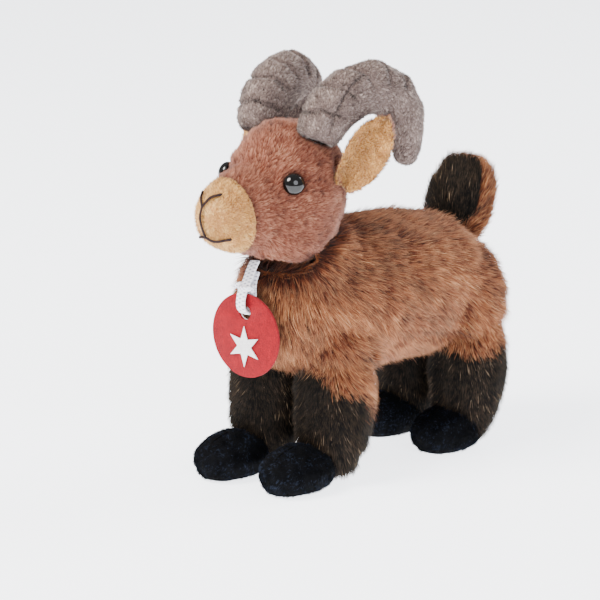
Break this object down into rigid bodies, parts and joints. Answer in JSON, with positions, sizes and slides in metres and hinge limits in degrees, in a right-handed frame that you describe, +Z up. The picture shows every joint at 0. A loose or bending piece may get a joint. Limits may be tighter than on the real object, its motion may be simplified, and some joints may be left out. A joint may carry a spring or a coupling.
{
  "type": "plush ibex toy",
  "caption": "Stuffed plush ibex standing on four legs, with curved horns, upright tail, velour hooves and a round cloth tag on an elastic at the neck.",
  "frame": {"origin": "on the ground under the middle of the animal, left out of the measure the tag on its elastic", "axes": "+Z up, -Y the way the animal looks, +X its left side"},
  "size_m": [0.0704, 0.1428, 0.1555],
  "materials": {
    "rust_fur": "long-pile polyester plush, rust brown with sandy tips, combed down and back",
    "dark_fur": "long-pile polyester plush, near-black brown with tan tips",
    "rose_plush": "short-pile polyester plush, dusty rose brown, brushed back from the muzzle",
    "sand_plush": "short-pile polyester plush, warm sand",
    "taupe_plush": "short-pile polyester plush, grey taupe",
    "black_velour": "cut velour, blue-black",
    "filling": "loose polyester fibre, off-white",
    "eye_black": "moulded acrylic, polished black",
    "washer": "moulded polyethylene, natural white",
    "thread": "embroidery thread, dark brown, satin stitch",
    "red_felt": "dense woven felt, bright red",
    "white_felt": "dense felt, white",
    "elastic": "flat braided elastic, white"
  },
  "bodies": {
    "torso": {"body_cover": "rust_fur", "body_stuffing": "filling"},
    "head": {"head_cover": "rose_plush", "muzzle_cover": "sand_plush", "head_stuffing": "filling", "nose_embroidery": "thread", "mouth_embroidery": "thread", "left_eye": "eye_black", "left_eye_washer": "washer", "left_horn_cover": "taupe_plush", "left_horn_stuffing": "filling", "right_eye": "eye_black", "right_eye_washer": "washer", "right_horn_cover": "taupe_plush", "right_horn_stuffing": "filling"},
    "left_ear": {"left_ear_back": "rose_plush", "left_ear_lining": "sand_plush"},
    "right_ear": {"right_ear_back": "rose_plush", "right_ear_lining": "sand_plush"},
    "front_left_leg": {"front_left_leg_cover": "dark_fur", "front_left_leg_stuffing": "filling", "front_left_hoof_cover": "black_velour", "front_left_hoof_stuffing": "filling", "front_left_hoof_stitch": "black_velour"},
    "front_right_leg": {"front_right_leg_cover": "dark_fur", "front_right_leg_stuffing": "filling", "front_right_hoof_cover": "black_velour", "front_right_hoof_stuffing": "filling", "front_right_hoof_stitch": "black_velour"},
    "rear_left_leg": {"rear_left_leg_cover": "dark_fur", "rear_left_leg_stuffing": "filling", "rear_left_hoof_cover": "black_velour", "rear_left_hoof_stuffing": "filling", "rear_left_hoof_stitch": "black_velour"},
    "rear_right_leg": {"rear_right_leg_cover": "dark_fur", "rear_right_leg_stuffing": "filling", "rear_right_hoof_cover": "black_velour", "rear_right_hoof_stuffing": "filling", "rear_right_hoof_stitch": "black_velour"},
    "tail": {"tail_front_cover": "dark_fur", "tail_back_cover": "rust_fur", "tail_stuffing": "filling"},
    "tag": {"tag_cord": "elastic", "tag_front": "red_felt", "tag_back": "white_felt", "tag_motif": "white_felt"}
  },
  "joints": [
    {"name": "head_turn", "type": "hinge", "parent": "torso", "child": "head", "pos_m": [0, -0.03319, 0.1077], "axis": [0, -0.2896, 0.9572], "range_deg": [-15, 15], "stiffness_Nm_per_rad": 0.12},
    {"name": "left_ear_bend", "type": "hinge", "parent": "head", "child": "left_ear", "pos_m": [0.0224, -0.02419, 0.1144], "axis": [0.6527, 0.5188, -0.5521], "range_deg": [-10, 10], "stiffness_Nm_per_rad": 0.003},
    {"name": "right_ear_bend", "type": "hinge", "parent": "head", "child": "right_ear", "pos_m": [-0.0224, -0.02419, 0.1144], "axis": [0.6527, -0.5188, 0.5521], "range_deg": [-10, 10], "stiffness_Nm_per_rad": 0.003},
    {"name": "front_left_leg_bend", "type": "hinge", "parent": "torso", "child": "front_left_leg", "pos_m": [0.0132, -0.02069, 0.052], "axis": [1, 0, 0], "range_deg": [-8, 8], "stiffness_Nm_per_rad": 0.12},
    {"name": "front_right_leg_bend", "type": "hinge", "parent": "torso", "child": "front_right_leg", "pos_m": [-0.017, -0.02539, 0.052], "axis": [1, 0, 0], "range_deg": [-8, 8], "stiffness_Nm_per_rad": 0.12},
    {"name": "rear_left_leg_bend", "type": "hinge", "parent": "torso", "child": "rear_left_leg", "pos_m": [0.0156, 0.05011, 0.054], "axis": [1, 0, 0], "range_deg": [-8, 8], "stiffness_Nm_per_rad": 0.12},
    {"name": "rear_right_leg_bend", "type": "hinge", "parent": "torso", "child": "rear_right_leg", "pos_m": [-0.0156, 0.05011, 0.054], "axis": [1, 0, 0], "range_deg": [-8, 8], "stiffness_Nm_per_rad": 0.12},
    {"name": "tail_bend", "type": "hinge", "parent": "torso", "child": "tail", "pos_m": [0, 0.05561, 0.078], "axis": [1, 0, 0], "range_deg": [-12, 12], "stiffness_Nm_per_rad": 0.03},
    {"name": "tag_swing", "type": "hinge", "parent": "torso", "child": "tag", "pos_m": [0.0004, -0.04819, 0.0846], "axis": [1, 0, 0], "range_deg": [-30, 0]}
  ]
}
